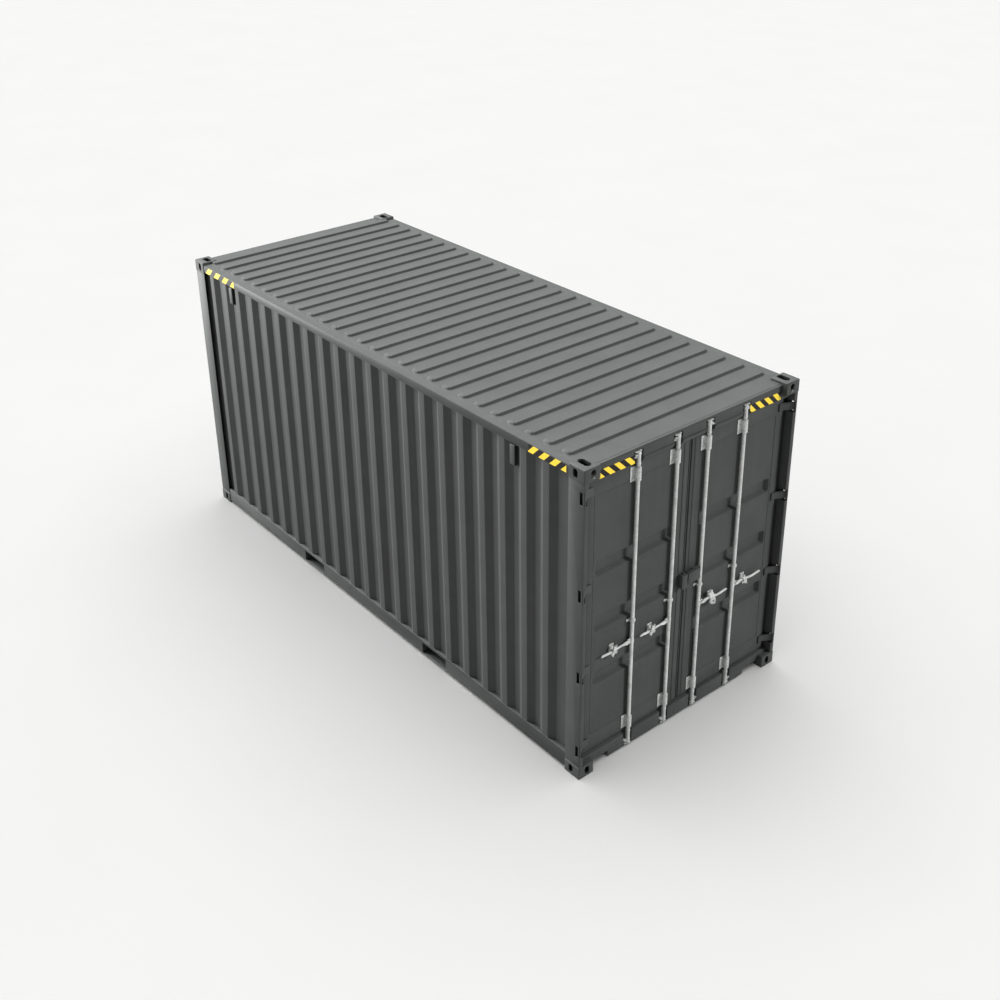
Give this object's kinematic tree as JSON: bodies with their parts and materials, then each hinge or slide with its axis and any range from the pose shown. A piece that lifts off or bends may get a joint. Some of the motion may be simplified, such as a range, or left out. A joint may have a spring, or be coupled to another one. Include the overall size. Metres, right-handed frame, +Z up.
{
  "type": "shipping container",
  "caption": "High-cube freight container with corrugated walls, ribbed roof, forklift pockets and a pair of rear doors that lock with rods, cams and lifting handles.",
  "frame": {"origin": "centre of the footprint, on the ground", "axes": "+X along the length towards the doors, +Y across to the right as seen facing the doors from outside, +Z up"},
  "size_m": [6.058, 2.438, 2.896],
  "materials": {
    "dark_grey_paint": "satin anthracite enamel over steel",
    "galvanised_steel": "dull hot-dip zinc coat",
    "seal_rubber": "matt black extruded rubber",
    "floor_plywood": "sealed hardwood plywood"
  },
  "bodies": {
    "container_frame": {"corner_casting_rear_left_bottom": "dark_grey_paint", "corner_casting_rear_left_top": "dark_grey_paint", "corner_casting_rear_right_bottom": "dark_grey_paint", "corner_casting_rear_right_top": "dark_grey_paint", "corner_casting_front_left_bottom": "dark_grey_paint", "corner_casting_front_left_top": "dark_grey_paint", "corner_casting_front_right_bottom": "dark_grey_paint", "corner_casting_front_right_top": "dark_grey_paint", "rear_post_left": "dark_grey_paint", "rear_post_right": "dark_grey_paint", "front_post_left": "dark_grey_paint", "front_post_right": "dark_grey_paint", "top_side_rail_left": "dark_grey_paint", "top_side_rail_right": "dark_grey_paint", "bottom_side_rail_left": "dark_grey_paint", "bottom_side_rail_right": "dark_grey_paint", "door_header": "dark_grey_paint", "door_sill": "dark_grey_paint", "front_top_rail": "dark_grey_paint", "front_bottom_rail": "dark_grey_paint", "side_wall_left": "dark_grey_paint", "side_wall_right": "dark_grey_paint", "front_wall": "dark_grey_paint", "roof_panel": "dark_grey_paint", "floor": "floor_plywood", "crossmembers": "dark_grey_paint", "fork_pocket_rear": "dark_grey_paint", "fork_pocket_front": "dark_grey_paint", "cam_keepers": "galvanised_steel", "hinge_pins": "dark_grey_paint", "vent_covers": "dark_grey_paint"},
    "left_door": {"door_frame_left": "dark_grey_paint", "door_panel_left": "dark_grey_paint", "door_seal_left": "seal_rubber", "hinge_blades_left": "dark_grey_paint", "rod_bearings_left": "galvanised_steel", "handle_catches_left": "galvanised_steel", "lock_box_left": "dark_grey_paint"},
    "right_door": {"door_frame_right": "dark_grey_paint", "door_panel_right": "dark_grey_paint", "door_seal_right": "seal_rubber", "hinge_blades_right": "dark_grey_paint", "rod_bearings_right": "galvanised_steel", "handle_catches_right": "galvanised_steel", "lock_box_right": "dark_grey_paint"},
    "left_outer_rod": {"lock_rod_left_outer": "galvanised_steel"},
    "left_outer_handle": {"handle_left_outer": "galvanised_steel"},
    "left_inner_rod": {"lock_rod_left_inner": "galvanised_steel"},
    "left_inner_handle": {"handle_left_inner": "galvanised_steel"},
    "right_inner_rod": {"lock_rod_right_inner": "galvanised_steel"},
    "right_inner_handle": {"handle_right_inner": "galvanised_steel"},
    "right_outer_rod": {"lock_rod_right_outer": "galvanised_steel"},
    "right_outer_handle": {"handle_right_outer": "galvanised_steel"}
  },
  "joints": [
    {"name": "left_door_swing", "type": "hinge", "parent": "container_frame", "child": "left_door", "pos_m": [3.016, -1.206, 1.4], "axis": [0, 0, -1], "range_deg": [0, 270]},
    {"name": "right_door_swing", "type": "hinge", "parent": "container_frame", "child": "right_door", "pos_m": [3.016, 1.206, 1.4], "axis": [0, 0, 1], "range_deg": [0, 270]},
    {"name": "left_outer_rod_turn", "type": "hinge", "parent": "left_door", "child": "left_outer_rod", "pos_m": [2.977, -0.612, 1.4], "axis": [0, 0, -1], "range_deg": [-100, 0]},
    {"name": "left_inner_rod_turn", "type": "hinge", "parent": "left_door", "child": "left_inner_rod", "pos_m": [2.977, -0.178, 1.4], "axis": [0, 0, -1], "range_deg": [-100, 0]},
    {"name": "right_inner_rod_turn", "type": "hinge", "parent": "right_door", "child": "right_inner_rod", "pos_m": [2.977, 0.178, 1.4], "axis": [0, 0, 1], "range_deg": [-100, 0]},
    {"name": "right_outer_rod_turn", "type": "hinge", "parent": "right_door", "child": "right_outer_rod", "pos_m": [2.977, 0.612, 1.4], "axis": [0, 0, 1], "range_deg": [-100, 0]},
    {"name": "left_outer_handle_lift", "type": "hinge", "parent": "left_outer_rod", "child": "left_outer_handle", "pos_m": [2.9885, -0.65, 1.092], "axis": [-1, 0, 0], "range_deg": [0, 20]},
    {"name": "left_inner_handle_lift", "type": "hinge", "parent": "left_inner_rod", "child": "left_inner_handle", "pos_m": [2.9885, -0.216, 1.092], "axis": [-1, 0, 0], "range_deg": [0, 20]},
    {"name": "right_inner_handle_lift", "type": "hinge", "parent": "right_inner_rod", "child": "right_inner_handle", "pos_m": [2.9885, 0.216, 1.092], "axis": [1, 0, 0], "range_deg": [0, 20]},
    {"name": "right_outer_handle_lift", "type": "hinge", "parent": "right_outer_rod", "child": "right_outer_handle", "pos_m": [2.9885, 0.65, 1.092], "axis": [1, 0, 0], "range_deg": [0, 20]}
  ]
}
